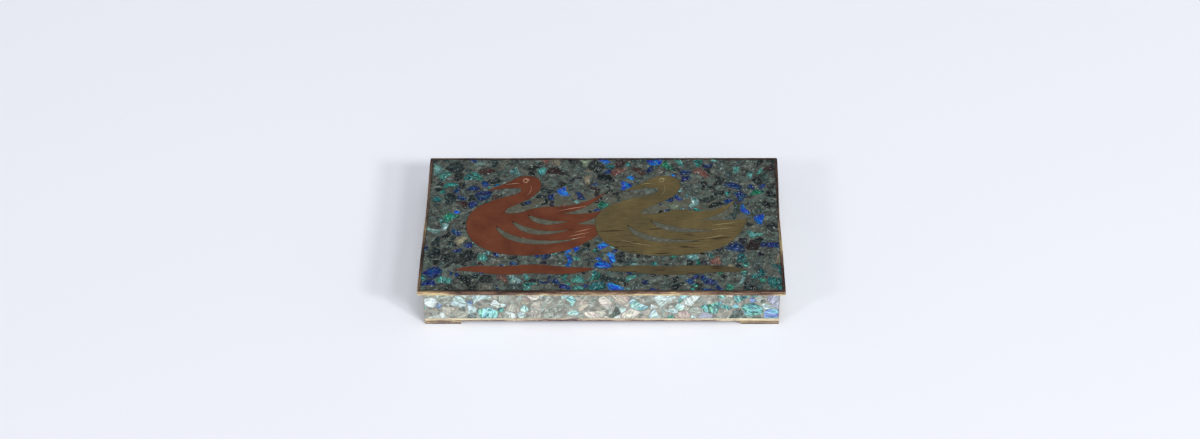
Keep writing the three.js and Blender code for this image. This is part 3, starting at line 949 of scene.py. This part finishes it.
def makeLidTray():
    low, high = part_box("lid_tray")
    shape = copyOfNode("lid_tray")
    sliceSheet(shape, low, high)
    for corner in shape.verts:
        spot = corner.co.copy()
        edgeX = high.x - abs(spot.x)
        edgeY = high.y - abs(spot.y)
        if spot.z < high.z - sheetWork["lidEdge"]:
            continue
        corner.co.x += bowIn(spot)
        if min(edgeX, edgeY) > sheetWork["lidRim"]:
            continue
        if edgeX < sheetWork["lidSide"]:
            corner.co.x -= math.copysign(unevenness(spot), spot.x)
        if edgeY < sheetWork["lidSide"]:
            corner.co.y -= math.copysign(unevenness(spot), spot.y)
        if spot.z > high.z - sheetWork["face"]:
            elsewhere = spot + Vector((0, 0, 0.03))  # so that top and side don't wave alike
            corner.co.z -= sheetWork["topShare"] * unevenness(elsewhere)
    addBrass(shape, "lidTray", "rim", rimBrass, "lid_tray")


def makeBoxShell():
    low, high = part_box("box_shell")
    shape = copyOfNode("box_shell")
    sliceSheet(shape, low, high)
    for corner in shape.verts:
        spot = corner.co.copy()
        if spot.z > low.z + sheetWork["stripHeight"] + 0.1 * mm:
            continue
        if high.x - abs(spot.x) < sheetWork["face"]:
            corner.co.x -= math.copysign(sheetWork["stripShare"] * unevenness(spot), spot.x)
        if high.y - abs(spot.y) < sheetWork["face"]:
            corner.co.y -= math.copysign(sheetWork["stripShare"] * unevenness(spot), spot.y)
    addBrass(shape, "boxShell", "base", baseBrass, "box_shell")


feet = {"softening": 0.18 * mm, "edgeAngle": 40}


def makeFoot(nodeName):
    shape = copyOfNode(nodeName)
    edges = [edge for edge in shape.edges if edge.calc_face_angle(0) > math.radians(feet["edgeAngle"])]
    bevel(shape, edges, feet["softening"], 2, "EDGES")
    addBrass(shape, nodeName.replace("foot_", "strip_foot_"), "foot", footBrass, nodeName)


makeLidTray()
makeBoxShell()
for footName in ("foot_front_left", "foot_front_right", "foot_back_left", "foot_back_right"):
    makeFoot(footName)
print("brass ready")

# Sheet-metal figures, with strokes cut by a graver

cutTool = {"radius": 0.42 * mm, "raised": 0.16 * mm, "thinEnd": 0.45}
copperStrokes = [
    [(-24, 14), (-17, 17), (-9, 19)],
    [(-26, 10), (-17, 13), (-8, 14.5)],
    [(-16, -8), (-11, -6.4), (-6.5, -4.6)],
    [(-19, -11.5), (-13, -9.5), (-7.5, -8)],
    [(-22, -15), (-15, -13), (-9.5, -11.5)],
    [(-45, -12), (-38, -16), (-30, -18.5)],
    [(-42, 33), (-40, 28), (-44, 23)],
    [(-56, 33), (-51, 34.4), (-48, 34.2)],
]
brassStrokes = [
    [(46, 13), (55, 14), (63, 17)],
    [(48, 9.5), (57, 10.6), (66, 13)],
    [(62, -2), (69, -0.6), (76, 0.6)],
    [(60, -6), (67, -5), (74, -3.6)],
    [(56, -13), (63, -12), (70, -9.8)],
    [(35, 33), (37, 28), (33, 23)],
    [(22, 33), (26, 34.4), (29, 34.2)],
    [(10, -14), (18, -17.5), (28, -19)],
]
eyes = {"copper_bird": (-44.6, 36.4), "brass_bird": (34, 36.8)}
eyeRing = {"radius": 2, "turns": 1.3, "steps": 22, "closing": 0.55}


def graverCurve(strokes, eye, height):
    # every stroke as a thin tube that thins out at both ends, and the eye as a small spiral
    spiral = []
    for step in range(eyeRing["steps"] + 1):
        share = step / eyeRing["steps"]
        angle = share * eyeRing["turns"] * 2 * math.pi
        reach = eyeRing["radius"] * (1 - eyeRing["closing"] * share)
        spiral.append((eye[0] + reach * math.cos(angle), eye[1] + reach * math.sin(angle)))
    data = bpy.data.curves.new("graverCuts", "CURVE")
    data.dimensions = "3D"
    data.bevel_depth = cutTool["radius"]
    data.bevel_resolution = 0
    data.use_fill_caps = True
    data.resolution_u = 4
    for stroke in [*strokes, spiral]:
        spline = data.splines.new("NURBS" if len(stroke) == 3 else "POLY")
        spline.points.add(len(stroke) - 1)
        if len(stroke) == 3:
            spline.order_u = 3
            spline.use_endpoint_u = True
        for index, (x, y) in enumerate(stroke):
            spline.points[index].co = (x * mm, y * mm, height + cutTool["raised"], 1)
            ends = index in (0, len(stroke) - 1)
            spline.points[index].radius = cutTool["thinEnd"] if ends else 1
    return addObject("graverCuts", data)


def evaluatedMesh(piece):
    # the piece's mesh with its modifiers applied
    depsgraph = bpy.context.evaluated_depsgraph_get()
    return bpy.data.meshes.new_from_object(piece.evaluated_get(depsgraph), depsgraph=depsgraph)


def engrave(mesh, tube):
    # the tube is cut out of the sheet, and the cut takes the sheet's second material
    name = mesh.name
    tubeMesh = evaluatedMesh(tube)
    for finish in mesh.materials:
        tubeMesh.materials.append(finish)
    for face in tubeMesh.polygons:
        face.material_index = 1
    blank = addObject("blankSheet", mesh)
    cutter = addObject("graverCutter", tubeMesh)
    cutting = blank.modifiers.new("engrave", "BOOLEAN")
    cutting.operation = "DIFFERENCE"
    cutting.solver = "EXACT"
    cutting.use_self = True
    cutting.object = cutter
    engraved = evaluatedMesh(blank)
    for spare in (blank, tube, cutter):
        bpy.data.objects.remove(spare)
    bpy.data.meshes.remove(mesh)
    engraved.name = name
    return engraved


def makeFigure(nodeName, finish, cutFinish, strokes=None):
    shape = copyOfNode(nodeName)
    bmesh.ops.triangulate(shape, faces=shape.faces)  # the engraving cuts triangles more cleanly
    mesh = meshFrom(shape, nodeName.replace("_", "Sheet_"), [finish, cutFinish])
    if strokes:
        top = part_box(nodeName)[1].z
        mesh = engrave(mesh, graverCurve(strokes, eyes[nodeName], top))
    addPiece(mesh, nodeName)


makeFigure("copper_bird", copperFinish, copperCut, copperStrokes)
makeFigure("brass_bird", oliveFinish, brassCut, brassStrokes)
makeFigure("copper_ripple", copperFinish, copperCut)
makeFigure("brass_ripple", rippleFinish, brassCut)
print("figures ready")

# Floor, light and camera

studio = {
    "floor": "#e9ebf0",
    "floorPatch": "#ebedf2",
    "front": "#f0f2fa",
    "back": "#8a8c92",  # a grey card, up behind the box, so that the lid mirrors little
    "cardTowards": (0, 0.75, 0.66),
    "strength": 0.7,
    "floorSize": 8,
    "away": 4.5,
}
# Azimuth in degrees from the box's front towards its right, elevation, size in metres, watts
lamps = {
    "softboxRight": (49, 32, 0.7, 66),
    "softboxLeft": (-48, 32, 0.7, 29),
    "softboxFront": (34, 40, 0.8, 43),
    "softboxAbove": (20, 78, 2.6, 44),
}
# Fitted to the photo's lid and base corners: metres, degrees and mm
photoView = {
    "place": (0.02371, -0.98998, 0.92097), "turn": (48.005, 0.7363, 0.7838), "lens": 70.585, "sensor": 36,
}


def makeFloor():
    # Pale board, matt and all but even
    material, tree, shader = newMaterial("paleFloor", {"Roughness": 0.85})
    place = addNode(tree, "TexCoord").outputs["Object"]
    uneven = addNode(tree, "TexNoise", {"Vector": place, "Scale": 3, "Detail": 3})
    tone = addNode(tree, "Mix", {
        "Factor": uneven, "A": colour(studio["floor"]), "B": colour(studio["floorPatch"]),
    }, data_type="RGBA")
    feed(tree, shader, {"Base Color": tone})
    shape = bmesh.new()
    bmesh.ops.create_grid(shape, x_segments=1, y_segments=1, size=studio["floorSize"] / 2)
    floor = addObject("floor", meshFrom(shape, "floor", [material]))


def addLamp(name, azimuth, elevation, size, watts):
    a = math.radians(azimuth)
    e = math.radians(elevation)
    data = bpy.data.lights.new(name, "AREA")
    data.shape = "DISK"
    data.size = size
    data.energy = watts
    lamp = addObject(name, data)
    towards = Vector((math.sin(a) * math.cos(e), -math.cos(a) * math.cos(e), math.sin(e)))
    lamp.location = towards * studio["away"]
    lamp.rotation_euler = towards.to_track_quat("Z", "Y").to_euler()


def makeStudio():
    scene = bpy.context.scene
    world = bpy.data.worlds.new("studio")
    scene.world = world
    world.use_nodes = True
    tree = world.node_tree
    direction = addNode(tree, "TexCoord").outputs["Generated"]
    behind = addNode(tree, "VectorMath", {
        0: direction, 1: Vector(studio["cardTowards"]),
    }, operation="DOT_PRODUCT")
    card = addNode(tree, "MapRange", {
        "Value": behind, "From Min": 0.45, "From Max": 0.9,
    }, interpolation_type="SMOOTHSTEP")
    sky = addNode(tree, "Mix", {
        "Factor": card, "A": colour(studio["front"]), "B": colour(studio["back"]),
    }, data_type="RGBA")
    feed(tree, tree.nodes["Background"], {"Color": sky, "Strength": studio["strength"]})
    for name, lamp in lamps.items():
        addLamp(name, *lamp)
    scene.view_settings.view_transform = "Standard"
    makeFloor()


def makeCamera():
    data = bpy.data.cameras.new("camera")
    data.sensor_width = photoView["sensor"]
    data.lens = photoView["lens"]
    camera = addObject("camera", data)
    camera.location = photoView["place"]
    camera.rotation_euler = [math.radians(angle) for angle in photoView["turn"]]
    bpy.context.scene.camera = camera


makeStudio()
makeCamera()
print("studio ready")
